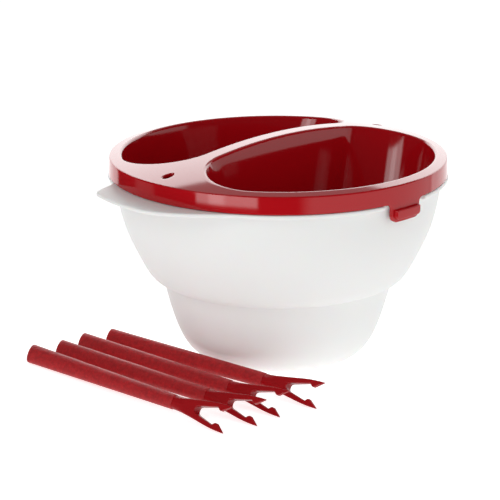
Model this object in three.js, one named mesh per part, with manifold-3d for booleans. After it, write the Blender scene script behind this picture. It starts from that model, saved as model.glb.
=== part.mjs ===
// Two-well fondue set in millimetres, +Z up. The origin is on the table, under the bowl's axis.
// +X points to the front snap clip and +Y along the divider between the two wells.
// Pieces: a stepped bowl for hot water, an insert with two D-shaped wells that rests on its flange,
// the insert's two snap clips, and four forks lying beside the bowl.
import * as THREE from 'three';
import { mergeVertices } from 'three/addons/utils/BufferGeometryUtils.js';
import Module from 'manifold-3d';

const wasm = await Module();
wasm.setup();

// ---------- driving dimensions ----------
const RIM_R = 95;             // outer radius of the insert's band
const WALL = 2.2;             // wall of the bowl
const SKIN = 2;               // wall of the insert
const GAP = 0.3;              // clearance between pieces that rest on each other
const STEPS = 72;             // facets round the vertical axis

const BASE_R = 41;            // flat face that the bowl stands on
const LEDGE_Z = 45.6;         // underside of the step between the lower and the upper body
const FLANGE_R = 95.3;
const FLANGE_TOP = 104.7;
const FLANGE_THICK = 2.2;
const LOWER_BODY = [[44.8, 0.5], [48.9, 2.8], [56.3, 13.6], [60.2, 24.4], [63.2, 35.2], [65.6, LEDGE_Z]];
const LEDGE_R = 68.6;
const UPPER_BODY = [[71.2, 46.7], [74.9, 51], [78.3, 57.3], [83.7, 68.6], [87.8, 79.9], [90.2, 91.2],
  [91.5, FLANGE_TOP - FLANGE_THICK]];

const FLANGE_EDGE = 0.3;      // chamfer round the flange
const GRIP_REACH = 14.7;      // how far the two grips stand out beyond the flange
const GRIP_RISE = [58, 88];   // degrees from +X over which a grip widens to its full reach
const GRIP_FALL = [108.5, 119];  // and over which it runs back into the flange
const NOTCH_R = 92.3;         // the flange is cut back to this radius behind each clip
const NOTCH_HALF_ANGLE = THREE.MathUtils.degToRad(9.6);
const NOTCH_SIDE_ANGLE = THREE.MathUtils.degToRad(0.4);

const BAND_BOTTOM = FLANGE_TOP + GAP;
const BAND_TOP = 113.7;
const RIM_Z = 114.5;          // height at which the domed deck meets the band
const DOME = 11.5;            // rise of the deck from its rim to its centre

const WELL_R = 88;
const WELL_CORNER = 28;
const WELL_FLOOR = 66;
const WELL_FLOOR_FILLET = 12;
const DIVIDER = 9.7;          // width of the bridge between the wells at the top
const OUTER_DRAFT = Math.tan(THREE.MathUtils.degToRad(9.5));
const DIVIDER_DRAFT = Math.tan(THREE.MathUtils.degToRad(7.5));
const WELL_LID = 130;         // the cavities run up past the dome to here

const VENT_Y = 84;
const VENT_LENGTH = 7.2;
const VENT_WIDTH = 4;

const CLIP_WIDTH = 22.4;
const CLIP_BOTTOM = 94.7;
const CLIP_TOP = BAND_BOTTOM - 0.4;
const CLIP_FILLET = 3;
const CLIP_CORNER = 4;
const CLIP_INNER_R = 93;
const LIP_REACH = 2.2;
const LIP_HALF_WIDTH = 9.4;
const LIP_BOTTOM = 96;
const LIP_TOP = 102.2;

const FORK_ROLL = THREE.MathUtils.degToRad(58.85);
const FORK_TILT = THREE.MathUtils.degToRad(0.58);
const FORK_HEIGHT = 5.34;     // height of the butt's centre over the table
const FORKS = [
  { name: 'fork_1', butt: [-79.5, -117.3], heading: 1.26 },
  { name: 'fork_2', butt: [-74.2, -100.8], heading: 2.4 },
  { name: 'fork_3', butt: [-74.4, -84.1], heading: 2.61 },
  { name: 'fork_4', butt: [-68.8, -68.0], heading: 4.95 },
];
// The handle's sections: place along the fork, half the width, depth of the shallow front and depth
// of the round back.
const HANDLE = [[0, 4.9, 2.4, 4.6], [0.5, 5.35, 2.75, 5.0], [58, 4.7, 2.7, 4.4], [115.3, 4.05, 2.65, 3.9],
  [115.6, 3.8, 2.4, 3.6], [121, 3.7, 2.3, 3.2], [126, 3.2, 2.1, 2.5], [129, 2.4, 1.6, 1.7]];
// One side of the head's outline, from the neck to the tip on the outside and back along the
// inside past the barb to the throat.
const HEAD_OUTSIDE = [[117, 3.6], [122.5, 4.1], [129.5, 4.75], [139.5, 6.25], [146.5, 7.1], [153.8, 7.35]];
const HEAD_INSIDE = [[148.6, 3.3], [147.2, 3.5], [145.9, 4.8], [134, 2.1], [132.7, 1.6], [132.1, 0.7]];
const HANDLE_POINTS = 16;
const HEAD_HALF_THICKNESS = [[116, 1.5], [119, 2.6], [131, 2.6], [145, 1.5], [154, 0.9]];

// ---------- materials ----------
const whitePlastic = new THREE.MeshStandardMaterial({ color: 0xe9e9e6, roughness: 0.35, metalness: 0 });
const glossRed = new THREE.MeshStandardMaterial({ color: 0x9c0712, roughness: 0.12, metalness: 0 });
const satinRed = new THREE.MeshStandardMaterial({ color: 0xa01a22, roughness: 0.4, metalness: 0 });

// ---------- solids ----------
function toSolid(geometry) {
  const g = geometry.clone();
  g.deleteAttribute('normal');
  g.deleteAttribute('uv');
  const merged = mergeVertices(g, 1e-4);
  return new wasm.Manifold(new wasm.Mesh({
    numProp: 3,
    vertProperties: new Float32Array(merged.attributes.position.array),
    triVerts: new Uint32Array(merged.index.array),
  }));
}

function toGeometry(solid) {
  const mesh = solid.getMesh();
  const geometry = new THREE.BufferGeometry();
  geometry.setAttribute('position', new THREE.BufferAttribute(new Float32Array(mesh.vertProperties), 3));
  geometry.setIndex(new THREE.BufferAttribute(new Uint32Array(mesh.triVerts), 1));
  geometry.computeVertexNormals();
  return geometry;
}

// A solid of revolution about +Z from a profile of [radius, height] pairs, listed so that the
// material lies to the left of the line.
function turned(profile, steps = STEPS) {
  const points = profile.map(([r, z]) => new THREE.Vector2(r, z));
  return toSolid(new THREE.LatheGeometry(points, steps).rotateX(Math.PI / 2));
}

// A closed body through rings of points that all have the same count. The rings follow each other
// along the body's outside, and each runs counterclockwise seen from beyond the last one.
function lofted(rings) {
  const count = rings[0].length;
  const last = (rings.length - 1) * count;
  const index = [];
  for (let start = 0; start < last; start += count) {
    for (let j = 0; j < count; j += 1) {
      const k = (j + 1) % count;
      index.push(start + j, start + k, start + count + k);
      index.push(start + j, start + count + k, start + count + j);
    }
  }
  for (let j = 1; j < count - 1; j += 1) {
    index.push(0, j + 1, j, last, last + j, last + j + 1);
  }
  const geometry = new THREE.BufferGeometry();
  const positions = rings.flat().flatMap((p) => [p.x, p.y, p.z]);
  geometry.setAttribute('position', new THREE.BufferAttribute(new Float32Array(positions), 3));
  geometry.setIndex(index);
  return toSolid(geometry);
}

function extruded(shape, depth, curveSegments = 8) {
  return new THREE.ExtrudeGeometry(shape, { depth, bevelEnabled: false, curveSegments });
}

// ---------- bowl ----------
function vectors(points) {
  return points.map(([x, y]) => new THREE.Vector2(x, y));
}

// Moves every point of a line to its left by a distance, keeping the line's segments parallel.
function offsetLine(points, distance) {
  return points.map((p, i) => {
    const before = points[Math.max(i - 1, 0)];
    const after = points[Math.min(i + 1, points.length - 1)];
    const into = p.clone().sub(before).normalize();
    const out = after.clone().sub(p).normalize();
    if (i === 0) into.copy(out);
    if (i === points.length - 1) out.copy(into);
    const normal = new THREE.Vector2(-into.y - out.y, into.x + out.x).normalize();
    const spread = normal.dot(new THREE.Vector2(-into.y, into.x));
    return p.clone().addScaledVector(normal, distance / spread);
  });
}

// 1 along the middle of a grip, 0 from its ends on round the rest of the flange.
function gripShape(angle) {
  const fromFront = THREE.MathUtils.radToDeg(Math.abs(angle));
  const rise = THREE.MathUtils.smoothstep(fromFront, ...GRIP_RISE);
  return rise * (1 - THREE.MathUtils.smoothstep(fromFront, ...GRIP_FALL));
}

function inNotch(angle) {
  return Math.min(Math.abs(angle), Math.PI - Math.abs(angle)) < NOTCH_HALF_ANGLE;
}

// The bowl's section at one angle about its axis, up its outside, round the flange and down its
// inside, from the edge of the base to the edge of the floor.
function bowlSection(angle) {
  const outside = vectors([[BASE_R, 0], ...LOWER_BODY, [LEDGE_R, LEDGE_Z], ...UPPER_BODY]);
  const inside = offsetLine(outside, WALL).reverse();
  const edge = inNotch(angle) ? NOTCH_R : FLANGE_R + GRIP_REACH * gripShape(angle);
  const root = outside[outside.length - 1].x;
  const under = FLANGE_TOP - FLANGE_THICK;
  const rim = vectors([
    [edge - FLANGE_EDGE, under], [edge, under + FLANGE_EDGE],
    [edge, FLANGE_TOP - FLANGE_EDGE], [edge - FLANGE_EDGE, FLANGE_TOP], [root, FLANGE_TOP],
    [root - WALL, FLANGE_TOP],
  ]);
  return [...outside, ...rim, ...inside.slice(0, -1), new THREE.Vector2(BASE_R, WALL)];
}

// The angles of the bowl's sections: even steps, and the two sides of each notch.
function bowlAngles() {
  const step = (2 * Math.PI) / STEPS;
  const angles = Array.from({ length: STEPS }, (_, i) => -Math.PI + (i + 0.5) * step);
  const sides = [NOTCH_HALF_ANGLE - NOTCH_SIDE_ANGLE, NOTCH_HALF_ANGLE + NOTCH_SIDE_ANGLE];
  for (const side of sides) {
    angles.push(side, -side, Math.PI - side, side - Math.PI);
  }
  return angles.sort((a, b) => a - b);
}

function bowl() {
  const angles = bowlAngles();
  const sections = angles.map(bowlSection);
  const rings = sections[0].map((_, i) => angles.map((angle, j) => {
    const { x, y } = sections[j][i];
    return new THREE.Vector3(x * Math.cos(angle), x * Math.sin(angle), y);
  }));
  return toGeometry(lofted(rings));
}

// ---------- insert ----------
function domeHeight(r) {
  return RIM_Z + DOME * (1 - (r / RIM_R) ** 2);
}

function domeLine(fromR, toR, pieces, lowered = 0) {
  return Array.from({ length: pieces + 1 }, (_, i) => {
    const r = fromR + ((toR - fromR) * i) / pieces;
    return [r, domeHeight(r) - lowered];
  });
}

function deckAndBand() {
  const edge = RIM_R - 0.7;
  return turned([
    ...domeLine(0, RIM_R - SKIN - 0.4, 5, SKIN),
    [RIM_R - SKIN, BAND_TOP - SKIN],
    [RIM_R - SKIN, BAND_BOTTOM],
    [RIM_R, BAND_BOTTOM],
    [RIM_R, BAND_TOP],
    ...domeLine(edge, 0, 7),
  ]);
}

function underTheDome() {
  return turned([[0, 40], [RIM_R - 1, 40], ...domeLine(RIM_R - 1, 0, 7)]);
}

// The outline of one well at one height: an arc about the bowl's axis, a straight side along the
// divider and two rounded corners, counterclockwise from the straight side's near end.
function wellOutline(radius, straightX, corner, z) {
  const cx = straightX + corner;
  const cy = Math.sqrt((radius - corner) ** 2 - cx ** 2);
  const turn = Math.atan2(cy, cx);
  const points = [];
  const arc = (x, y, r, from, to, pieces) => {
    for (let i = 0; i < pieces; i += 1) {
      const a = from + ((to - from) * i) / pieces;
      points.push(new THREE.Vector3(x + r * Math.cos(a), y + r * Math.sin(a), z));
    }
  };
  arc(cx, -cy, corner, -Math.PI, -turn, 7);
  arc(0, 0, radius, -turn, turn, 20);
  arc(cx, cy, corner, turn, Math.PI, 7);
  points.push(new THREE.Vector3(straightX, cy, z));
  return points;
}

// One well as a solid, grown by the insert's wall for its outside and by nothing for its cavity.
function wellSolid(side, grown) {
  const floor = WELL_FLOOR - grown;
  const fillet = WELL_FLOOR_FILLET + grown;
  const rings = [];
  const ring = (z, inset) => {
    const radius = WELL_R + grown - (RIM_Z - z) * OUTER_DRAFT - inset;
    const straight = DIVIDER / 2 - grown + (RIM_Z + DOME - z) * DIVIDER_DRAFT + inset;
    rings.push(wellOutline(radius, straight, WELL_CORNER + grown - inset, z));
  };
  for (let i = 0; i <= 4; i += 1) {
    const a = (i * Math.PI) / 8;
    ring(floor + fillet * (1 - Math.cos(a)), fillet * (1 - Math.sin(a)));
  }
  ring(WELL_LID, 0);
  if (side < 0) {
    rings.forEach((points) => points.forEach((p) => p.set(-p.x, -p.y, p.z)));
  }
  return lofted(rings);
}

function vent(side) {
  const shape = new THREE.Shape();
  shape.absellipse(0, 0, VENT_WIDTH / 2, VENT_LENGTH / 2, 0, 2 * Math.PI);
  return toSolid(extruded(shape, 40, 8).translate(0, side * VENT_Y, RIM_Z - 20));
}

function insert() {
  let solid = wellSolid(1, SKIN).add(wellSolid(-1, SKIN)).intersect(underTheDome()).add(deckAndBand());
  for (const side of [1, -1]) {
    solid = solid.subtract(wellSolid(side, 0)).subtract(vent(side));
  }
  return toGeometry(solid);
}

// ---------- clips ----------
// The clip's outline seen from outside: flared into the band at the top, rounded below.
function clipOutline() {
  const half = CLIP_WIDTH / 2;
  const shape = new THREE.Shape();
  shape.moveTo(-half - CLIP_FILLET, CLIP_TOP);
  shape.absarc(-half - CLIP_FILLET, CLIP_TOP - CLIP_FILLET, CLIP_FILLET, Math.PI / 2, 0, true);
  shape.lineTo(-half, CLIP_BOTTOM + CLIP_CORNER);
  shape.absarc(-half + CLIP_CORNER, CLIP_BOTTOM + CLIP_CORNER, CLIP_CORNER, Math.PI, 1.5 * Math.PI, false);
  shape.absarc(half - CLIP_CORNER, CLIP_BOTTOM + CLIP_CORNER, CLIP_CORNER, -Math.PI / 2, 0, false);
  shape.lineTo(half, CLIP_TOP - CLIP_FILLET);
  shape.absarc(half + CLIP_FILLET, CLIP_TOP - CLIP_FILLET, CLIP_FILLET, Math.PI, Math.PI / 2, true);
  shape.lineTo(-half - CLIP_FILLET, CLIP_TOP);
  return shape;
}

// Turns a geometry built in X, Y with its depth along Z into one that stands at +X: the drawing's
// X runs along +Y, its Y runs up, and its depth runs outwards.
function standAtFront(geometry, fromX) {
  return toSolid(geometry.rotateX(Math.PI / 2).rotateZ(Math.PI / 2).translate(fromX, 0, 0));
}

function frontClip() {
  const plate = turned([
    [CLIP_INNER_R, CLIP_BOTTOM - 1], [RIM_R, CLIP_BOTTOM - 1],
    [RIM_R, CLIP_TOP], [CLIP_INNER_R, CLIP_TOP], [CLIP_INNER_R, CLIP_BOTTOM - 1],
  ], 160).intersect(standAtFront(extruded(clipOutline(), 30, 5), 80));
  const inside = RIM_R - 0.8;
  const lipEdge = RIM_R + LIP_REACH;
  const ring = turned([
    [inside, LIP_BOTTOM], [RIM_R, LIP_BOTTOM + 0.2], [lipEdge - 0.5, LIP_BOTTOM + 0.8],
    [lipEdge, LIP_BOTTOM + 1.5], [lipEdge, LIP_TOP - 1], [lipEdge - 0.4, LIP_TOP - 0.5],
    [RIM_R, LIP_TOP - 0.2],
    [inside, LIP_TOP], [inside, LIP_BOTTOM],
  ], 160);
  const reach = new THREE.BoxGeometry(60, 2 * LIP_HALF_WIDTH, 20).translate(RIM_R, 0, 98);
  return plate.add(ring.intersect(toSolid(reach)));
}

// ---------- forks ----------
// The handle's section at one place along the fork: a shallow arc in front and a deep one behind.
function handleSection([x, half, front, back]) {
  return Array.from({ length: HANDLE_POINTS }, (_, i) => {
    const a = (i * 2 * Math.PI) / HANDLE_POINTS;
    const depth = Math.sin(a) > 0 ? front : back;
    return new THREE.Vector3(x, half * Math.cos(a), depth * Math.sin(a));
  });
}

// The head lies in the plane of X and Y with its two tines along +X.
function forkHead() {
  const outside = new THREE.SplineCurve(vectors(HEAD_OUTSIDE)).getPoints(7);
  const side = [...outside, ...vectors(HEAD_INSIDE)];
  const outline = [...side, ...side.map((p) => new THREE.Vector2(p.x, -p.y)).reverse()];
  const plan = extruded(new THREE.Shape(outline), 20).translate(0, 0, -10);
  const below = HEAD_HALF_THICKNESS.map(([x, half]) => [x, -half]).reverse();
  const edge = new THREE.Shape(vectors([...HEAD_HALF_THICKNESS, ...below]));
  const profile = extruded(edge, 30).translate(0, 0, -15).rotateX(Math.PI / 2);
  return toSolid(plan).intersect(toSolid(profile));
}

function fork() {
  const handle = lofted(HANDLE.map(handleSection));
  return toGeometry(handle.add(forkHead())).rotateX(FORK_ROLL);
}

// ---------- assembly ----------
function named(name, geometry, material) {
  const mesh = new THREE.Mesh(geometry, material);
  mesh.name = name;
  return mesh;
}

const group = new THREE.Group();
group.add(named('bowl', bowl(), whitePlastic));
group.add(named('insert', insert(), glossRed));

const clip = toGeometry(frontClip());
group.add(named('clip_front', clip, glossRed));
const backClip = named('clip_back', clip.clone(), glossRed);
backClip.rotation.z = Math.PI;
group.add(backClip);

for (const { name, butt, heading } of FORKS) {
  const mesh = named(name, fork(), satinRed);
  mesh.position.set(butt[0], butt[1], FORK_HEIGHT);
  mesh.rotation.set(0, -FORK_TILT, THREE.MathUtils.degToRad(heading), 'ZYX');
  group.add(mesh);
}

export default group;
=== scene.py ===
"""Two-well fondue set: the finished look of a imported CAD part, built in Blender around its frame.

Every shape is written in millimetres in the CAD's frame and made as a mesh from its own sections:
the stepped bowl, the insert with its two wells, the insert's two snap clips and the four forks.
"""
import math

import bpy
import numpy as np
from mathutils import Euler, Matrix, Vector


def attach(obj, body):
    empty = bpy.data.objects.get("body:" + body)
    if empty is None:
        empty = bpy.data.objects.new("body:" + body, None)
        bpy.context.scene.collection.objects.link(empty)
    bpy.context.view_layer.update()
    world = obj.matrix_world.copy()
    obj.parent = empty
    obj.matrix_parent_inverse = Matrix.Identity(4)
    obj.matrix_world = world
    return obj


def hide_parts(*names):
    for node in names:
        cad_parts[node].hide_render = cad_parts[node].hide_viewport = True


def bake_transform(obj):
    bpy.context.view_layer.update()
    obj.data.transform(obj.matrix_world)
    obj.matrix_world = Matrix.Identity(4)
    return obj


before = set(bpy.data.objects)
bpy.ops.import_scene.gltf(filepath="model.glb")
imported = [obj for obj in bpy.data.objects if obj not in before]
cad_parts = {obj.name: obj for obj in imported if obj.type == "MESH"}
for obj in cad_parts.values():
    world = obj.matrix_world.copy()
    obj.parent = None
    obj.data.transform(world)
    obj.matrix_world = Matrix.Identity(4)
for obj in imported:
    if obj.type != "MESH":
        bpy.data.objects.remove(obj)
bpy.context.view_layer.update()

MM = 0.001

# ---------- sizes in millimetres and degrees ----------
BASE_R = 41.0
WALL = 2.2
LEDGE_Z = 45.6                # height of the step in the bowl's outside
LOWER_BODY = [(BASE_R, 0), (44.8, 0.5), (48.9, 2.8), (56.3, 13.6), (60.2, 24.4), (63.2, 35.2),
              (65.6, LEDGE_Z)]
UPPER_BODY = [(68.6, LEDGE_Z), (71.2, 46.7), (74.9, 51), (78.3, 57.3), (83.7, 68.6), (87.8, 79.9),
              (90.2, 91.2), (91.5, 102.5)]
FLANGE_R = 95.3
FLANGE_TOP = 104.7
FLANGE_UNDER = 102.5
LEDGE_FILLET = 0.7            # inside corner under the step
INNER_LEDGE_FILLET = 2.6
FLANGE_FILLETS = (0.9, 0.7)   # under the flange, at its root and at its edge
FLANGE_EDGES = (0.95, 0.7)    # on top of the flange, outside and inside
GRIP_REACH = 14.6             # how far the grips stand out beyond the flange
GRIP_RISE = (58, 88)          # where a grip widens, round from the front clip
GRIP_FALL = (108.5, 119)      # and where it runs back into the flange
NOTCH_R = 92.3                # the flange is cut back to this beside the clips
NOTCH_ANGLE = 9.6
NOTCH_SLOPE = 0.35            # half the angle over which a notch's side runs out
BOWL_COLUMNS = 320

RIM_R = 95.0
SKIN = 2.0                    # thickness of the insert's walls
BAND_BOTTOM = 105.0
RIM_Z = 114.5
DOME = 11.5                   # rise of the deck from the rim to the middle
RIM_EDGE = 0.9                # radius of the edge between the deck and the band
RIM_EDGE_SHARE = 0.78         # share of that radius that the edge takes from the deck
BAND_LEAN = 0.2               # the band leans in towards its top, and its face is slightly crowned
BAND_CROWN = 0.3
BAND_FOOT = 0.4               # radius of the band's lower edge
WELL_R = 87.3
WELL_CORNER = 28.0
WELL_FLOOR = 66.0
FLOOR_FILLET = 12.0
UNDER_EDGE = 0.6              # radius between a well's wall and the deck on the underside
WELL_EDGE = 1.8               # radius of the edge between the deck and a well
BRIDGE = 9.7                  # width of the bridge between the wells at the top
OUTER_DRAFT = math.tan(math.radians(9.5))
BRIDGE_DRAFT = math.tan(math.radians(7.5))
VENT_Y = 84.0
VENT_HALF = (2.2, 3.7)
VENT_EDGE = 0.5
DECK_SPREAD = 0.75            # below 1, the deck's rows lie closer together beside the wells

CLIP_HALF = 11.2
CLIP_BOTTOM = 94.7
CLIP_FILLET = 3.0
CLIP_CORNER = 4.0
CLIP_INNER_R = 93.0
CLIP_EDGE = 0.5
CLIP_GRID = (90, 160)
LIP_REACH = 2.2
LIP_HALF = 9.4
LIP_SPAN = (96.4, 101.9)
LIP_CORNER = (2.0, 0.7)       # corner radii of the lip's face, below and above
LIP_EDGE = 0.55               # radius of the edge round the lip's face
LIP_CROWN = 0.10              # share of the lip's reach that is lost at its upper and lower edge

# The fork's shape is given along x from the butt. Pairs are x and the distance from its middle plane.
FORK_BUTT = 0.5
FORK_STEP = 0.25              # edge radius of the step between the handle and the head
STEP_X = 115.3
THROAT = 132.1
FORK_END = 153.8
# The handle's row of places is followed by its half widths, front depths and back depths.
HANDLE = ((0, 58, STEP_X), (5.35, 4.7, 4.05), (2.75, 2.7, 2.65), (5, 4.4, 3.9))
HEAD_OUT = [(116, 3.75), (122.5, 4.05), (129.5, 4.75), (139.5, 6.25), (146.5, 7.1), (FORK_END, 7.35)]
HEAD_IN = [(THROAT, 0.0), (132.2, 0.55), (132.45, 1.1), (132.9, 1.6), (134, 2.1), (145.7, 4.8), (146.0, 4.75),
           (146.7, 4.0), (147.3, 3.5), (148, 3.3), (148.7, 3.45), (153.6, 6.7), (FORK_END, 7.15)]
HEAD_FRONT = ((115.6, 121, 131, 145, 154), (2.42, 2.55, 2.6, 1.5, 0.55))
HEAD_BACK = ((115.6, 121, 128, 131, 145, 154), (3.62, 3.15, 2.7, 2.6, 1.5, 0.55))
HEAD_RADIUS = ((116, 124, 140, 154), (1.6, 1.1, 0.55, 0.2))

# How the forks lie: rolled about their length, with the head a little higher than the butt's
# middle, which is at FORK_HEIGHT. FORKS gives that middle in plan and the heading in degrees.
FORK_ROLL = math.radians(58.85)
FORK_TILT = math.radians(0.58)
FORK_HEIGHT = 5.34
FORKS = {
    "fork_1": ((-79.5, -117.3), 1.26),
    "fork_2": ((-74.2, -100.8), 2.4),
    "fork_3": ((-74.4, -84.1), 2.61),
    "fork_4": ((-68.8, -68.0), 4.95),
}


# ---------- curves ----------
def smooth(x, low, high):
    """0 up to low, 1 from high on, and a smooth step between."""
    t = np.clip((np.asarray(x, float) - low) / (high - low), 0, 1)
    return t * t * (3 - 2 * t)


def spline(points, count, start=None):
    """A cubic spline through points. Its first direction may be given, and its end is free."""
    p = np.array(points, float)
    step = np.linalg.norm(np.diff(p, axis=0), axis=1)
    t = np.concatenate([[0], np.cumsum(step)])
    n = len(p)
    a = np.zeros((n, n))
    b = np.zeros((n, 2))
    for i in range(1, n - 1):
        a[i, i - 1], a[i, i], a[i, i + 1] = step[i - 1], 2 * (step[i - 1] + step[i]), step[i]
        b[i] = 6 * ((p[i + 1] - p[i]) / step[i] - (p[i] - p[i - 1]) / step[i - 1])
    a[0, 0] = a[-1, -1] = 1
    if start is not None:
        a[0, 0], a[0, 1] = 2 * step[0], step[0]
        b[0] = 6 * ((p[1] - p[0]) / step[0] - np.array(start) / np.linalg.norm(start))
    m = np.linalg.solve(a, b)
    out = []
    for q in np.linspace(0, t[-1], count):
        i = min(int(np.searchsorted(t, q, side="right")) - 1, n - 2)
        h, u, v = step[i], t[i + 1] - q, q - t[i]
        out.append(m[i] * u**3 / (6 * h) + m[i + 1] * v**3 / (6 * h)
                   + (p[i] / h - m[i] * h / 6) * u + (p[i + 1] / h - m[i + 1] * h / 6) * v)
    return np.array(out)


def arc_between(corner, one, other, radius, pieces):
    """Points of the arc that rounds off a corner between two unit directions that leave it."""
    one = one / np.linalg.norm(one, axis=-1, keepdims=True)
    other = other / np.linalg.norm(other, axis=-1, keepdims=True)
    middle = one + other
    middle = middle / np.linalg.norm(middle, axis=-1, keepdims=True)
    half = np.arccos(np.clip((one * middle).sum(-1, keepdims=True), -1, 1))
    radius = np.asarray(radius, float)
    centre = corner + middle * radius / np.sin(half)
    first = corner + one * radius / np.tan(half) - centre
    last = corner + other * radius / np.tan(half) - centre
    sweep = np.pi - 2 * half
    rows = []
    for k in np.linspace(0, 1, pieces + 1):
        reach = first * np.sin((1 - k) * sweep) + last * np.sin(k * sweep)
        rows.append(centre + reach / np.sin(sweep))
    return np.array(rows)


def rounded(path, radii, pieces=6):
    """A line whose inner corners are rounded where radii gives more than 0."""
    path = [np.array(p, float) for p in path]
    out = []
    for i, p in enumerate(path):
        radius = radii.get(i, 0)
        if radius:
            out.extend(arc_between(p, path[i - 1] - p, path[i + 1] - p, radius, pieces))
        else:
            out.append(p)
    return np.array(out)


def offset(path, distance):
    """The line moved to its left by a distance."""
    d = np.gradient(path, axis=0)
    d /= np.linalg.norm(d, axis=1, keepdims=True)
    return path + distance * np.stack([-d[:, 1], d[:, 0]], 1)


# ---------- meshes ----------
MERGE = 1e-3                  # points closer than this are one
SHARP = math.radians(38)      # edges that turn more than this are shaded as sharp


class Builder:
    """Collects vertices and faces, and merges what meets."""

    def __init__(self):
        self.points, self.faces, self.count = [], [], 0

    def grid(self, rows, closed=False, flip=False, skip=None):
        """Quads over rows of points, each of the same length."""
        rows = np.asarray(rows, float)
        r, n = rows.shape[:2]
        base = self.count
        self.points.append(rows.reshape(-1, 3))
        self.count += r * n
        for i in range(r - 1):
            for j in range(n if closed else n - 1):
                if skip is not None and skip[j]:
                    continue
                k = (j + 1) % n
                a, b = base + i * n + j, base + i * n + k
                c, d = base + (i + 1) * n + k, base + (i + 1) * n + j
                self.faces.append((a, d, c, b) if flip else (a, b, c, d))

    def make(self, name, finish):
        """The mesh in metres, without the faces that merging closes up."""
        points = np.concatenate(self.points)
        key = np.round(points / MERGE).astype(np.int64)
        _, first, back = np.unique(key, axis=0, return_index=True, return_inverse=True)
        back = back.reshape(-1)
        faces = []
        for face in self.faces:
            f = [int(back[v]) for v in face]
            f = [v for i, v in enumerate(f) if v != f[i - 1]]
            if len(f) > 2 and len(set(f)) == len(f):
                faces.append(f)
        used = np.unique(np.concatenate([np.array(f) for f in faces]))
        again = np.full(len(first), -1)
        again[used] = np.arange(len(used))
        faces = [[int(again[v]) for v in f] for f in faces]
        mesh = bpy.data.meshes.new(name)
        mesh.from_pydata((points[first[used]] * MM).tolist(), [], faces)
        mesh.validate()
        mesh.polygons.foreach_set("use_smooth", [True] * len(mesh.polygons))
        mesh.set_sharp_from_angle(angle=SHARP)
        mesh.materials.append(finish)
        mesh.update()
        return mesh


def placed(name, data):
    """A new object for a mesh, light or camera, in the scene."""
    obj = bpy.data.objects.new(name, data)
    bpy.context.scene.collection.objects.link(obj)
    return obj


# ---------- materials ----------
def material(name, base, roughness, **inputs):
    """A new material, its node tree and its shader, with the shader's own numbers set."""
    m = bpy.data.materials.new(name)
    m.use_nodes = True
    shader = m.node_tree.nodes["Principled BSDF"]
    shader.inputs["Base Color"].default_value = (*base, 1)
    shader.inputs["Roughness"].default_value = roughness
    for key, value in inputs.items():
        shader.inputs[key.replace("_", " ")].default_value = value
    return m, m.node_tree, shader


def bump(tree, shader, scale, strength, distance, detail=3.0, mask=None):
    """A noise bump in object space, fainter where the named point attribute is 0."""
    nodes, links = tree.nodes, tree.links
    place = nodes.new("ShaderNodeTexCoord")
    noise = nodes.new("ShaderNodeTexNoise")
    noise.inputs["Scale"].default_value = scale
    noise.inputs["Detail"].default_value = detail
    bumped = nodes.new("ShaderNodeBump")
    bumped.inputs["Strength"].default_value = strength
    bumped.inputs["Distance"].default_value = distance
    links.new(place.outputs["Object"], noise.inputs["Vector"])
    links.new(noise.outputs["Fac"], bumped.inputs["Height"])
    if mask:
        attribute = nodes.new("ShaderNodeAttribute")
        attribute.attribute_name = mask
        scaled = nodes.new("ShaderNodeMath")
        scaled.operation = "MULTIPLY"
        scaled.inputs[1].default_value = strength
        links.new(attribute.outputs["Fac"], scaled.inputs[0])
        links.new(scaled.outputs[0], bumped.inputs["Strength"])
    links.new(bumped.outputs["Normal"], shader.inputs["Normal"])


def white_plastic():
    m, tree, shader = material("white_plastic", (0.80, 0.80, 0.79), 0.46, IOR=1.40,
                               Subsurface_Weight=0.12, Subsurface_Scale=0.004)
    bump(tree, shader, 900, 0.03, 0.0002)
    return m


def gloss_red():
    m, tree, shader = material("gloss_red", (0.41, 0.003, 0.007), 0.07, IOR=1.5)
    bump(tree, shader, 22, 0.02, 0.002, detail=1.0)
    return m


HEAD_RED = (0.33, 0.002, 0.005)
GRIP_REDS = (0.29, 0.006, 0.009), (0.50, 0.012, 0.016)


def satin_red():
    """Grained on the handle, where the point attribute is 1, and smoother and deeper on the head."""
    m, tree, shader = material("satin_red", HEAD_RED, 0.42, IOR=1.42)
    nodes, links = tree.nodes, tree.links
    bump(tree, shader, 1500, 0.55, 0.0003, detail=4.0, mask="grain")
    place = nodes.new("ShaderNodeTexCoord")
    cloud = nodes.new("ShaderNodeTexNoise")
    cloud.inputs["Scale"].default_value = 420
    cloud.inputs["Detail"].default_value = 6
    cloud.inputs["Roughness"].default_value = 0.75
    grain = nodes.new("ShaderNodeAttribute")
    grain.attribute_name = "grain"
    tone = nodes.new("ShaderNodeValToRGB")
    for element, position, colour in zip(tone.color_ramp.elements, (0.36, 0.66), GRIP_REDS):
        element.position = position
        element.color = (*colour, 1)
    head = nodes.new("ShaderNodeMix")
    head.data_type = "RGBA"
    head.inputs["A"].default_value = (*HEAD_RED, 1)
    links.new(place.outputs["Object"], cloud.inputs["Vector"])
    links.new(cloud.outputs["Fac"], tone.inputs["Fac"])
    links.new(grain.outputs["Fac"], head.inputs["Factor"])
    links.new(tone.outputs["Color"], head.inputs["B"])
    links.new(head.outputs["Result"], shader.inputs["Base Color"])
    rough = nodes.new("ShaderNodeMapRange")
    rough.inputs["To Min"].default_value = 0.26
    rough.inputs["To Max"].default_value = 0.44
    links.new(grain.outputs["Fac"], rough.inputs["Value"])
    links.new(rough.outputs["Result"], shader.inputs["Roughness"])
    return m


WHITE = white_plastic()
GLOSS = gloss_red()
SATIN = satin_red()


# ---------- bowl ----------
def grip_shape(degrees):
    """1 where a grip stands out in full, 0 where there is none."""
    a = np.abs(degrees)
    return smooth(a, *GRIP_RISE) * (1 - smooth(a, *GRIP_FALL))


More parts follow.
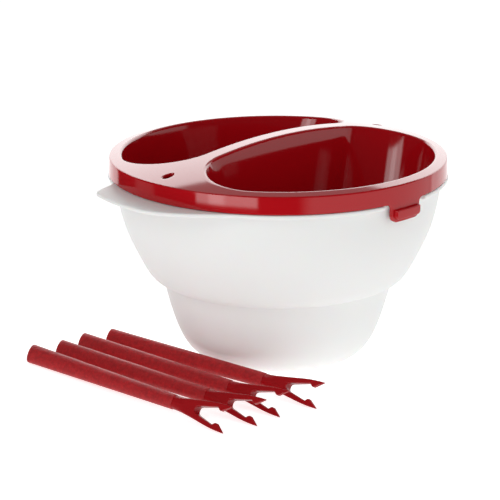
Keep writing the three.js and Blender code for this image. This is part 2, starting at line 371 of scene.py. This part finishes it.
def notch_shape(degrees):
    """1 beside the clips, where the flange is cut back, and 0 elsewhere."""
    a = np.minimum(np.abs(degrees), 180 - np.abs(degrees))
    return 1 - smooth(a, NOTCH_ANGLE - NOTCH_SLOPE, NOTCH_ANGLE + NOTCH_SLOPE)


def bowl_section(edge):
    """The bowl's section, from the middle of its base up the outside and down the inside."""
    lower = spline(LOWER_BODY, 34, (1, 0))
    upper = spline(UPPER_BODY, 44, (1, 0.12))
    body = np.concatenate([lower, upper])
    # The lower line's last point but one would lie inside the fillet.
    bend = np.concatenate([lower[:-2], lower[-1:], upper])
    inner = offset(rounded(bend, {len(lower) - 2: INNER_LEDGE_FILLET}, 8), WALL)[::-1]
    inner = inner[inner[:, 1] > WALL + 0.4]
    root = upper[-1, 0]
    outline = [(0, 0), *body, (edge, FLANGE_UNDER), (edge, FLANGE_TOP), (root - WALL, FLANGE_TOP)]
    top = len(body)
    under = [min(radius, (edge - root) * 0.45) for radius in FLANGE_FILLETS]
    radii = dict(zip((len(lower), *range(top, top + 4)), (LEDGE_FILLET, *under, *FLANGE_EDGES)))
    outside = rounded(outline + [tuple(inner[3])], radii)[:-1]
    floor = [(r, WALL) for r in np.linspace(BASE_R - 1, 0, 6)]
    return np.concatenate([outside, inner[3:], floor])


def bowl():
    step = 360 / BOWL_COLUMNS
    degrees = -180 + (np.arange(BOWL_COLUMNS) + 0.5) * step
    sides = NOTCH_ANGLE + np.linspace(-0.5, 0.5, 11)
    degrees = np.unique(np.concatenate([degrees, sides, -sides, 180 - sides, sides - 180]))
    edges = FLANGE_R + GRIP_REACH * grip_shape(degrees)
    edges = edges + (NOTCH_R - edges) * notch_shape(degrees)
    sections = np.array([bowl_section(e) for e in edges])
    r, z = sections[:, :, 0].T, sections[:, :, 1].T
    a = np.radians(degrees)
    b = Builder()
    b.grid(np.stack([r * np.cos(a), r * np.sin(a), z], -1), closed=True)
    return b.make("bowl", WHITE)


# ---------- insert ----------
def dome(x, y, lowered=0.0):
    """Height of the deck, or of the surface that lies the given distance below it."""
    return RIM_Z + DOME * (1 - (x * x + y * y) / RIM_R**2) - lowered


# Points of a well's outline: on its outer arc, on its rounded corner beside the rim, the seam
# between the halves of the deck, the vent and the seam again, and on its straight side.
ARC, CORNER_RIM, CORNER_SEAM, CORNER_VENT, CORNER_SIDE, STRAIGHT = 96, 30, 5, 18, 22, 40
CORNER = CORNER_RIM + CORNER_SEAM + CORNER_VENT + CORNER_SIDE
COLUMNS = ARC + 2 * CORNER + STRAIGHT
CORNER_MARKS = (0, 0.34, 0.37, 0.56, 1)   # shares of the corner's turn at which those stretches end
ARRIVAL = 4.2                 # how far from the seam and the vents the deck's rows turn in


def corner_shares():
    """Shares of the corner's turn at which its points sit, from the arc to the straight side."""
    counts = CORNER_RIM, CORNER_SEAM, CORNER_VENT, CORNER_SIDE
    steps = zip(CORNER_MARKS, CORNER_MARKS[1:], counts)
    return np.concatenate([np.linspace(a, b, n, endpoint=False) for a, b, n in steps])


SHARES = corner_shares()


def well_outline(radius, straight, corner):
    """A well's outline in plan, counterclockwise, with the outward directions of its points."""
    cx = straight + corner
    cy = math.sqrt((radius - corner) ** 2 - cx**2)
    turn = math.atan2(cy, cx)
    angles = np.concatenate([
        np.linspace(-turn, turn, ARC, endpoint=False),
        turn + (math.pi - turn) * SHARES,
        np.full(STRAIGHT, math.pi),
        -turn - (math.pi - turn) * SHARES[::-1],
    ])
    n = np.stack([np.cos(angles), np.sin(angles)], 1)
    p = np.empty_like(n)
    p[:ARC] = radius * n[:ARC]
    first = slice(ARC, ARC + CORNER)
    p[first] = (cx, cy) + corner * n[first]
    y = np.linspace(cy, -cy, STRAIGHT)
    p[ARC + CORNER:ARC + CORNER + STRAIGHT] = np.stack([np.full(STRAIGHT, straight), y], 1)
    last = slice(ARC + CORNER + STRAIGHT, None)
    p[last] = (cx, -cy) + corner * n[last]
    return p, n


def well_ring(z, grown=0.0, inset=0.0):
    """A well's outline at one height, made larger all round or drawn in."""
    radius = WELL_R + grown - (RIM_Z - z) * OUTER_DRAFT - inset
    straight = BRIDGE / 2 - grown + (RIM_Z + DOME - z) * BRIDGE_DRAFT + inset
    return well_outline(radius, straight, WELL_CORNER + grown - inset)


def lifted(plan, z):
    """Points in plan, put at one height or at one height each."""
    height = np.broadcast_to(np.asarray(z, float).reshape(-1, 1), (len(plan), 1))
    return np.concatenate([plan, height], 1)


def well_edge(grown, lowered):
    """Where a well's wall meets the deck's surface: the points, and the directions along both."""
    low_z, high_z = 100.0, 120.0
    low, n = well_ring(low_z, grown)
    high, _ = well_ring(high_z, grown)
    z = np.full(COLUMNS, RIM_Z + 4.0)
    for _ in range(6):
        plan = low + (high - low) * ((z - low_z) / (high_z - low_z))[:, None]
        z = dome(plan[:, 0], plan[:, 1], lowered)
    corner = lifted(plan, z)
    slope = -2 * DOME / RIM_R**2 * (plan * n).sum(1)
    along_deck = np.concatenate([n, slope[:, None]], 1)
    down_wall = lifted(low - high, low_z - high_z)
    return corner, along_deck, down_wall


def deck_boundary(rim, vent):
    """The edge of one half of the deck that lies opposite each point of the well's outline."""
    p, _ = well_ring(RIM_Z + 4)
    arc = np.arctan2(p[:ARC, 1], p[:ARC, 0])
    turn = math.atan2(p[ARC, 1], p[ARC, 0])
    outer = rim * np.stack([np.cos(arc), np.sin(arc)], 1)
    a = np.linspace(turn, math.pi / 2, CORNER_RIM, endpoint=False)
    near = VENT_Y + vent[1], VENT_Y - vent[1]
    b = np.linspace(math.pi / 2, -math.pi / 2, CORNER_VENT, endpoint=False)
    side_y = p[ARC + CORNER, 1]
    corner = np.concatenate([
        rim * np.stack([np.cos(a), np.sin(a)], 1),
        np.stack([np.zeros(CORNER_SEAM), np.linspace(rim, near[0], CORNER_SEAM, endpoint=False)], 1),
        np.stack([vent[0] * np.cos(b), VENT_Y + vent[1] * np.sin(b)], 1),
        np.stack([np.zeros(CORNER_SIDE), np.linspace(near[1], side_y, CORNER_SIDE, endpoint=False)], 1),
    ])
    y = np.linspace(side_y, -side_y, STRAIGHT)
    plan = np.concatenate([outer, corner, np.stack([np.zeros(STRAIGHT), y], 1), (corner * (1, -1))[::-1]])
    plan[np.abs(plan[:, 0]) < 1e-6, 0] = 0
    return plan


def deck_arrival():
    """How the deck's rows turn in as they reach the seam and the vents: a pull for each point."""
    out = np.zeros((COLUMNS, 2))
    rise = np.linspace(0, 1, CORNER_SEAM)
    turn = np.linspace(math.pi / 2, -math.pi / 2, CORNER_VENT, endpoint=False) * 0.6
    fall = np.clip(1 - np.arange(CORNER_SIDE) / 10, 0, 1)
    pull = np.concatenate([rise, np.ones(CORNER_VENT), fall]) * ARRIVAL
    angle = np.concatenate([rise * turn[0], turn, turn[-1] * fall])
    first = ARC + CORNER_RIM
    last = first + len(pull)
    out[first:last] = np.stack([pull * np.cos(angle), pull * np.sin(angle)], 1)
    far = ARC + CORNER + STRAIGHT
    out[far:far + len(pull)] = (out[first:last] * (1, -1))[::-1]
    return out


def deck_rows(start, edge, lowered, pieces):
    """Rows of points over the deck, from a well's edge to the deck's boundary."""
    control = edge + deck_arrival()
    rows = []
    for s in np.linspace(0, 1, pieces + 1)[1:]:
        s = 1 - (1 - s) ** DECK_SPREAD
        plan = start[:, :2] * (1 - s) ** 2 + control * 2 * s * (1 - s) + edge * s * s
        rows.append(lifted(plan, dome(plan[:, 0], plan[:, 1], lowered)))
    return rows


def well_rows(grown, bottom, fillet, wall_top):
    """Rows of points from the middle of a well's floor up its wall to the given top row."""
    p, _ = well_ring(bottom, grown, fillet)
    middle = np.array([p[:, 0].mean(), 0.0])
    rows = [lifted(middle + (p - middle) * s, bottom) for s in (0, 0.3, 0.6, 0.85)]
    for a in np.linspace(0, math.pi / 2, 13):
        z = bottom + fillet * (1 - math.cos(a))
        q, _ = well_ring(z, grown, fillet * (1 - math.sin(a)))
        rows.append(lifted(q, z))
    below = rows[-1]
    rows.extend(below + (wall_top - below) * s for s in (0.25, 0.5, 0.75))
    return rows


def half_insert():
    """The rows of one half of the insert: its top side and its underside, each out to the edge where the band
    and the vents join it.
    """
    corner, deck, wall = well_edge(0.0, 0.0)
    edge = arc_between(corner, wall, deck, WELL_EDGE, 8)
    rim = band_radius(RIM_Z) - RIM_EDGE * RIM_EDGE_SHARE
    vent = VENT_HALF[0] + VENT_EDGE, VENT_HALF[1] + VENT_EDGE
    top = well_rows(0.0, WELL_FLOOR, FLOOR_FILLET, edge[0]) + list(edge)
    top += deck_rows(edge[-1], deck_boundary(rim, vent), 0.0, 16)

    corner, deck, wall = well_edge(SKIN, SKIN)
    edge = arc_between(corner, wall, deck, UNDER_EDGE, 3)
    under = well_rows(SKIN, WELL_FLOOR - SKIN, FLOOR_FILLET + SKIN, edge[0]) + list(edge)
    under += deck_rows(edge[-1], deck_boundary(RIM_R - SKIN, VENT_HALF), SKIN, 8)
    return np.array(top), np.array(under)


def band_radius(z):
    """Radius of the band's face at one height."""
    share = (z - BAND_BOTTOM) / (RIM_Z - BAND_BOTTOM)
    return RIM_R - BAND_LEAN * share - BAND_CROWN * share**2


def band_rows(top_row, under_row):
    """From the deck's outer edge round the band to the underside's outer edge."""
    a = np.arctan2(top_row[:, 1], top_row[:, 0])
    beside_clip = np.abs(np.sin(a)) < (CLIP_HALF + CLIP_FILLET) / RIM_R
    bottom_edge = np.where(beside_clip, 0.02, BAND_FOOT)
    slope = -2 * DOME / RIM_R
    outer = band_radius(RIM_Z)
    corner = np.array([outer, dome(outer, 0)])
    lean = np.array([band_radius(RIM_Z - 2) - outer, -2.0])
    section = list(arc_between(corner, np.array([-1.0, -slope]), lean, RIM_EDGE, 7)[1:])
    section += [(band_radius(z), z) for z in (112.5, 111.5, 110, 108.5, 107, 106)]
    rings = [np.broadcast_to(np.array(p, float), (len(a), 2)) for p in section]
    rings.append(np.stack([np.full(len(a), RIM_R), BAND_BOTTOM + bottom_edge + 0.04], 1))
    for k in np.linspace(0, math.pi / 2, 5):
        rings.append(np.stack([RIM_R - bottom_edge * (1 - math.cos(k)),
                               BAND_BOTTOM + bottom_edge * (1 - math.sin(k))], 1))
    inner = RIM_R - SKIN
    for p in ((inner + 0.3, BAND_BOTTOM), (inner, BAND_BOTTOM + 0.3), (inner, 108), (inner, 111)):
        rings.append(np.broadcast_to(np.array(p, float), (len(a), 2)))
    rows = [np.stack([r[:, 0] * np.cos(a), r[:, 0] * np.sin(a), r[:, 1]], 1) for r in rings]
    return np.array([top_row, *rows, under_row])


def vent_rows(top_row, under_row):
    """From the deck round the vent's edge and down its wall to the underside."""
    rows = [top_row]
    flat_z = top_row[:, 2]
    centre = np.array([0.0, math.copysign(VENT_Y, top_row[0, 1])])
    unit = (top_row[:, :2] - centre) / (np.array(VENT_HALF) + VENT_EDGE)
    for k in np.linspace(0, math.pi / 2, 5)[1:]:
        half = np.array(VENT_HALF) + VENT_EDGE * (1 - math.sin(k))
        rows.append(lifted(centre + unit * half, flat_z - VENT_EDGE * (1 - math.cos(k))))
    rows.append(under_row)
    return np.array(rows)


def insert():
    """Both halves, the second turned by half a turn, and joined along the seam."""
    top, under = half_insert()
    near = ARC + CORNER_RIM + CORNER_SEAM
    far = ARC + CORNER + STRAIGHT + CORNER_SIDE
    rim = np.r_[COLUMNS - CORNER_RIM - 1:COLUMNS, 0:ARC + CORNER_RIM + 1]
    vents = np.r_[near:near + CORNER_VENT + 1], np.r_[far - 1:far + CORNER_VENT]
    b = Builder()
    for turned in (1, -1):
        spin = np.array([turned, turned, 1])
        b.grid(top * spin, closed=True, flip=True)
        b.grid(under * spin, closed=True)
        b.grid(band_rows(top[-1][rim], under[-1][rim]) * spin, flip=True)
        for vent in vents:
            b.grid(vent_rows(top[-1][vent], under[-1][vent]) * spin, flip=True)
    return b.make("insert", GLOSS)


# ---------- clips ----------
def clip_outline():
    """The fillet at the clip's top right and the rounded corner at its bottom right."""
    t = np.linspace(0, math.pi / 2, 24)
    fillet = np.stack([CLIP_HALF + CLIP_FILLET - CLIP_FILLET * np.sin(t),
                       BAND_BOTTOM - CLIP_FILLET + CLIP_FILLET * np.cos(t)], 1)
    corner = np.stack([CLIP_HALF - CLIP_CORNER * (1 - np.cos(t)),
                       CLIP_BOTTOM + CLIP_CORNER * (1 - np.sin(t))], 1)
    return fillet, corner


def along(path, shares):
    """Points at shares of a line's length."""
    path = np.asarray(path, float)
    length = np.concatenate([[0], np.cumsum(np.linalg.norm(np.diff(path, axis=0), axis=1))])
    at = np.asarray(shares) * length[-1]
    return np.stack([np.interp(at, length, path[:, k]) for k in range(path.shape[1])], 1)


def lip_height(s, z):
    """How far the lip stands out of the tongue: a rounded block with a softly crowned face."""
    middle, half = sum(LIP_SPAN) / 2, (LIP_SPAN[1] - LIP_SPAN[0]) / 2
    corner = np.where(z < middle, *LIP_CORNER)
    x = np.abs(s) - LIP_HALF + corner
    y = np.abs(z - middle) - half + corner
    outside = np.hypot(np.clip(x, 0, None), np.clip(y, 0, None)) + np.minimum(np.maximum(x, y), 0) - corner
    block = np.sqrt(np.clip(1 - (1 - np.clip(-outside / LIP_EDGE, 0, 1)) ** 2, 0, 1))
    crown = 1 - LIP_CROWN * ((z - middle - 0.6) / half) ** 2
    return LIP_REACH * block * crown


def clip_plan():
    """The clip laid flat: a grid of points spread evenly between its four sides, and its outline."""
    fillet, corner = clip_outline()
    half = len(corner) // 2
    down, across = (np.linspace(0, 1, count) for count in CLIP_GRID)
    right = along(np.concatenate([fillet, corner[:half + 1]]), down)
    left = right * (-1, 1)
    low = along(np.concatenate([corner[half:] * (-1, 1), corner[half:][::-1]]), across)
    top = left[0] + (right[0] - left[0]) * across[:, None]
    u, v = across[None, :, None], down[:, None, None]
    corners = (1 - v) * ((1 - u) * left[0] + u * right[0]) + v * ((1 - u) * left[-1] + u * right[-1])
    flat = (1 - u) * left[:, None] + u * right[:, None] + (1 - v) * top[None] + v * low[None] - corners
    return flat, np.concatenate([left, low[1:-1], right[::-1]])


def front_clip():
    """The front clip, bent round the band: its face with the lip, its back and its edge."""
    flat, ring = clip_plan()
    distance = np.full(flat.shape[:2], 1e9)
    for a, c in zip(ring, ring[1:]):
        d = c - a
        t = np.clip(((flat - a) @ d) / (d @ d), 0, 1)
        distance = np.minimum(distance, np.linalg.norm(flat - (a + t[..., None] * d), axis=-1))
    near = CLIP_EDGE - np.clip(distance, 0, CLIP_EDGE)
    drop = CLIP_EDGE - np.sqrt(CLIP_EDGE**2 - near**2)
    s, z = flat[..., 0], flat[..., 1]
    outer = RIM_R - drop + lip_height(s, z)
    a = s / RIM_R
    face = np.stack([outer * np.cos(a), outer * np.sin(a), z], -1)
    back = np.stack([CLIP_INNER_R * np.cos(a), CLIP_INNER_R * np.sin(a), z], -1)
    b = Builder()
    b.grid(face, flip=True)
    b.grid(back)
    edge = [np.concatenate([g[:, 0], g[-1, 1:], g[-2::-1, -1], g[0, -2:0:-1]]) for g in (face, back)]
    b.grid(edge, closed=True, flip=True)
    return b


def clips():
    b = front_clip()
    front = b.make("clip_front", GLOSS)
    b.points = [p * (-1, -1, 1) for p in b.points]
    return front, b.make("clip_back", GLOSS)


# ---------- forks ----------
HEAD_LINE = spline(HEAD_OUT, 200)


def fork_sizes(x):
    """Half width, depth of the front and depth of the back at one place along the fork."""
    if x <= STEP_X:
        return [np.interp(x, HANDLE[0], sizes) for sizes in HANDLE[1:]]
    half = np.interp(x, HEAD_LINE[:, 0], HEAD_LINE[:, 1])
    return [half, np.interp(x, *HEAD_FRONT), np.interp(x, *HEAD_BACK)]


# Points of a head section's loop along its edges, its faces and its rounded corners.
EDGE_POINTS, FACE_POINTS, TURN_POINTS = 5, 9, 6
LOOP = 2 * (EDGE_POINTS + 2 * (TURN_POINTS - 1) + FACE_POINTS - 1 + EDGE_POINTS - 1) - 1
INNER = EDGE_POINTS - 1       # quads of the inner edge at each end of a loop


def oval_points(half, front, back, count):
    """Half of an oval section, from the middle of its front round to the middle of its back."""
    a = np.linspace(math.pi / 2, -math.pi / 2, count)
    return np.stack([half * np.cos(a), np.where(a > 0, front, back) * np.sin(a)], 1)


def tine_loop(low, high, front, back, radius):
    """Half of a head section: in from the middle of its inner edge, round its outer edge and back."""
    radius = min(radius, (high - low) * 0.42, front * 0.8)
    inner = min(radius, 0.45, 0.5 * low + 0.01)
    t = np.linspace(0, math.pi / 2, TURN_POINTS)

    def quarter(depth, sign):
        edge = np.stack([np.full(EDGE_POINTS, low), np.linspace(0, depth - inner, EDGE_POINTS)], 1)
        turn = np.stack([low + inner * (1 - np.cos(t)), depth - inner * (1 - np.sin(t))], 1)
        s = np.linspace(0, 1, FACE_POINTS)
        face = np.stack([low + inner + (high - radius - low - inner) * s, np.full(FACE_POINTS, depth)], 1)
        out = np.stack([high - radius * (1 - np.sin(t)), depth - radius * (1 - np.cos(t))], 1)
        side = np.stack([np.full(EDGE_POINTS, high), np.linspace(depth - radius, 0, EDGE_POINTS)], 1)
        return np.concatenate([edge, turn[1:], face[1:], out[1:], side[1:]]) * (1, sign)

    return np.concatenate([quarter(front, 1), quarter(back, -1)[::-1][1:]])


def wrapped(half_loop):
    """Fills in the unused points of the inner edge, on the fork's middle plane."""
    s = np.linspace(0, 1, INNER + 1)[:-1, None]
    return np.concatenate([half_loop[0] * s, half_loop, (half_loop[-1] * s)[::-1]])


def handle_stations():
    """Places along the handle, and how far its section is drawn in there by the rounded ends."""
    t = np.linspace(0, math.pi / 2, 6)
    yield from zip(FORK_BUTT * (1 - np.cos(t)), FORK_BUTT * (1 - np.sin(t)))
    yield from ((x, 0.0) for x in np.linspace(2, STEP_X - FORK_STEP, 58))
    t = np.linspace(0, math.pi / 2, 4)[1:]
    yield from zip(STEP_X - FORK_STEP * (1 - np.sin(t)), FORK_STEP * (1 - np.cos(t)))


def head_stations():
    """Places along the head, closest together at the throat and the barbs."""
    return np.concatenate([
        np.linspace(STEP_X + 0.02, 131.4, 34),
        [131.65, 131.85, 132.0, THROAT],
        THROAT + np.array([0.02, 0.06, 0.12, 0.22, 0.35, 0.55, 0.8, 1.1, 1.5, 2.0]),
        np.linspace(135, 145.4, 18),
        np.linspace(145.6, 153.6, 41),
        [153.72, FORK_END],
    ])


def head_loop(x):
    """Half a section of the head: oval at the handle, flat with rounded edges towards the tines."""
    half, front, back = fork_sizes(x)
    low = np.interp(x, *np.transpose(HEAD_IN)) if x > THROAT else 0.0
    loop = tine_loop(low, half, front, back, np.interp(x, *HEAD_RADIUS))
    if x > THROAT - 0.5:
        return loop
    flat = loop[INNER:LOOP - INNER]
    side, depth = flat[:, 0], flat[:, 1]
    flat[:, 1] = np.where(side < 0.5, np.sign(depth) * np.where(depth > 0, front, back), depth)
    share = float(smooth(x, 116, 127))
    mixed = oval_points(half, front, back, len(flat)) * (1 - share) + flat * share
    mixed[0, 0] = mixed[-1, 0] = 0
    return wrapped(mixed)


def fork_rows():
    """Half sections all along the fork, and the number of the one at the throat."""
    places, loops = [], []
    for x, inset in handle_stations():
        half, front, back = fork_sizes(x)
        places.append(x)
        loops.append(wrapped(oval_points(half - inset, front - inset, back - inset, LOOP - 2 * INNER)))
    for x in head_stations():
        places.append(x)
        loops.append(head_loop(x))
    rows = [np.column_stack([np.full(LOOP, x), loop]) for x, loop in zip(places, loops)]
    return np.array(rows), places.index(THROAT)


def fork_mesh():
    """One fork along x, rolled as the forks lie, with its grain marked on the handle."""
    rows, start = fork_rows()
    b = Builder()
    skip = np.zeros(LOOP, bool)
    skip[:INNER] = skip[LOOP - 1 - INNER:LOOP - 1] = True
    for mirror in (1, -1):
        m = rows * (1, mirror, 1)
        butt, tip = m[0], m[-1]
        b.grid(m[:start + 1], flip=mirror > 0, skip=skip)
        b.grid(m[start:], flip=mirror > 0)
        b.grid([butt * (1, s, s) for s in (0.0, 0.5, 1.0)], flip=mirror > 0, skip=skip)
        b.grid([tip, np.broadcast_to(tip.mean(0), tip.shape)], flip=mirror > 0)
    spin = np.array(Matrix.Rotation(FORK_ROLL, 3, "X"))
    b.points = [p @ spin.T for p in b.points]
    mesh = b.make("fork", SATIN)
    places = np.empty(len(mesh.vertices) * 3)
    mesh.vertices.foreach_get("co", places)
    grain = (places[::3] < STEP_X * MM).astype(np.float32)
    mesh.attributes.new("grain", "FLOAT", "POINT").data.foreach_set("value", grain)
    return mesh


# ---------- assembly ----------
bowl_object = placed("bowl_shell", bowl())
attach(bowl_object, "bowl")
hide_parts("bowl")

insert_object = placed("insert_shell", insert())
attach(insert_object, "insert")
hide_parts("insert")

for side, node, mesh in zip((1, -1), ("clip_front", "clip_back"), clips()):
    clip = placed(node + "_tongue", mesh)
    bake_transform(clip)
    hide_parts(node)

fork_data = fork_mesh()
for node, (butt, heading) in FORKS.items():
    mesh = fork_data.copy()
    turn = Euler((0, -FORK_TILT, math.radians(heading)), "XYZ").to_matrix().to_4x4()
    mesh.transform(Matrix.Translation(Vector((*butt, FORK_HEIGHT)) * MM) @ turn)
    fork = placed(node + "_body", mesh)
    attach(fork, node)
    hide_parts(node)


# ---------- stage ----------
def area_light(name, location, target_height, size, power):
    """A square light that points at the set, and that gloss doesn't show."""
    data = bpy.data.lights.new(name, "AREA")
    data.shape = "RECTANGLE"
    data.size = data.size_y = size
    data.energy = power
    obj = placed(name, data)
    obj.location = location
    obj.rotation_euler = (Vector((0, 0, target_height)) - location).to_track_quat("-Z", "Y").to_euler()
    obj.visible_glossy = False


HEADING = math.radians(44.7)
AWAY = Vector((-math.sin(HEADING), math.cos(HEADING), 0))
RIGHT = Vector((math.cos(HEADING), math.sin(HEADING), 0))
UP = Vector((0, 0, 1))

# Lit parts of the studio: degrees round from the right to the far side, degrees up, softness, and
# the brightness low down and high up.
STUDIO = [
    ((34, 133), (-24, 35), 2.5, (1.4, 3.8)),        # the tall wall behind the set
    ((34, 133), (35, 95), 4.0, (0.6, 0.6)),         # the ceiling above it
    ((-73, 34), (-24, 2.5), 6.0, (0.95, 1.3)),      # the low wall on the right
    ((-17, 34), (2.5, 12), 3.0, (0.9, 1.1)),        # the top of its far half
    ((160, 179), (-24, 0), 4.0, (0.3, 0.3)),        # a dim strip on the left
    ((-146, -104), (-10.4, 10), 1.0, (3.4, 3.4)),   # the bright card in front
    ((-150, -115), (10, 25.3), 3.0, (3.4, 3.4)),    # its upper part
    ((-137, -126), (-10.4, 25.3), 2.0, (2.0, 2.0)),  # the brightest stretch of both
    ((-127, -73), (-24, -14), 6.0, (0.15, 0.15)),   # the dim edge of the table in front
    ((-190, 190), (-95, -24), 2.5, (0.9, 0.9)),     # the table
]
STUDIO_RISE = (-10, 32)       # degrees up at which those two levels of brightness are reached
STUDIO_SOFT = 0.7             # softness of the lit parts' upper and lower edges
STUDIO_DARK = 0.03            # brightness of the rest
TENT_LIGHT = 0.78             # brightness of the even light near the horizon
TENT_ZENITH = 0.16            # and near the top
TENT_RISE = (5, 65)           # degrees up between which it falls


def at(right, away, up):
    """A place given from the middle of the set, as the camera looks at it."""
    return RIGHT * right + AWAY * away + UP * up


def make_floor():
    mesh = bpy.data.meshes.new("floor")
    far = 6.0
    mesh.from_pydata([(-far, -far, 0), (far, -far, 0), (far, far, 0), (-far, far, 0)], [], [(0, 1, 2, 3)])
    m, _, _ = material("floor", (0.9, 0.9, 0.9), 0.9, Emission_Color=(1, 1, 1, 1), Emission_Strength=0.68,
                       Specular_IOR_Level=0)
    mesh.materials.append(m)
    floor = placed("floor", mesh)
    floor.visible_glossy = False


def ramp(tree, value, low, high, start, end):
    """A value's smooth step from start to end as it goes from low to high."""
    node = tree.nodes.new("ShaderNodeMapRange")
    node.interpolation_type = "SMOOTHSTEP"
    for key, number in (("From Min", low), ("From Max", high), ("To Min", start), ("To Max", end)):
        node.inputs[key].default_value = number
    tree.links.new(value, node.inputs["Value"])
    return node.outputs["Result"]


def make_world():
    """Gloss shows the studio, which is dark but for its lit parts. Other light is even and white."""
    world = bpy.data.worlds.new("studio")
    bpy.context.scene.world = world
    world.use_nodes = True
    tree = world.node_tree
    nodes, links = tree.nodes, tree.links
    nodes.clear()

    def calculate(operation, a, b):
        node = nodes.new("ShaderNodeMath")
        node.operation = operation
        for slot, value in zip(node.inputs, (a, b)):
            if isinstance(value, (int, float)):
                slot.default_value = value
            else:
                links.new(value, slot)
        return node.outputs[0]

    def window(value, low, high, soft):
        return calculate("MULTIPLY", ramp(tree, value, low - soft, low + soft, 0, 1),
                         ramp(tree, value, high - soft, high + soft, 1, 0))

    place = nodes.new("ShaderNodeTexCoord")
    turned_place = nodes.new("ShaderNodeVectorRotate")
    turned_place.rotation_type = "Z_AXIS"
    turned_place.inputs["Angle"].default_value = -HEADING
    split = nodes.new("ShaderNodeSeparateXYZ")
    links.new(place.outputs["Generated"], turned_place.inputs["Vector"])
    links.new(turned_place.outputs["Vector"], split.inputs[0])
    azimuth = calculate("ARCTAN2", split.outputs["Y"], split.outputs["X"])
    azimuth = calculate("MULTIPLY", azimuth, 180 / math.pi)
    height = calculate("ARCSINE", split.outputs["Z"], 0.0)
    height = calculate("MULTIPLY", height, 180 / math.pi)

    total = STUDIO_DARK
    for around, upward, soft, levels in STUDIO:
        level = ramp(tree, height, *STUDIO_RISE, *levels)
        part = calculate("MULTIPLY", window(azimuth, *around, soft), window(height, *upward, STUDIO_SOFT))
        total = calculate("ADD", calculate("MULTIPLY", part, level), total)
    gloss = nodes.new("ShaderNodeBackground")
    links.new(total, gloss.inputs["Strength"])
    soft_light = nodes.new("ShaderNodeBackground")
    links.new(ramp(tree, height, *TENT_RISE, TENT_LIGHT, TENT_ZENITH), soft_light.inputs["Strength"])
    seen = nodes.new("ShaderNodeBackground")
    for node in (gloss, soft_light, seen):
        node.inputs["Color"].default_value = (1, 1, 1, 1)
    path = nodes.new("ShaderNodeLightPath")
    shiny = nodes.new("ShaderNodeMixShader")
    mix = nodes.new("ShaderNodeMixShader")
    out = nodes.new("ShaderNodeOutputWorld")
    links.new(path.outputs["Is Glossy Ray"], shiny.inputs[0])
    links.new(soft_light.outputs[0], shiny.inputs[1])
    links.new(gloss.outputs[0], shiny.inputs[2])
    links.new(path.outputs["Is Camera Ray"], mix.inputs[0])
    links.new(shiny.outputs[0], mix.inputs[1])
    links.new(seen.outputs[0], mix.inputs[2])
    links.new(mix.outputs[0], out.inputs["Surface"])


make_floor()
make_world()
area_light("key", at(-0.9, -1.1, 1.3), 0.08, 0.9, 7.5)
area_light("fill", at(1.3, -0.9, 0.8), 0.06, 1.0, 1.2)

camera_data = bpy.data.cameras.new("camera")
camera_data.lens = 144
camera_data.sensor_width = 36
camera = placed("camera", camera_data)
camera.location = (0.7553, -0.7856, 0.3852)
camera.rotation_euler = (math.radians(73.28), 0, HEADING)
bpy.context.scene.camera = camera
bpy.context.scene.view_settings.view_transform = "Standard"
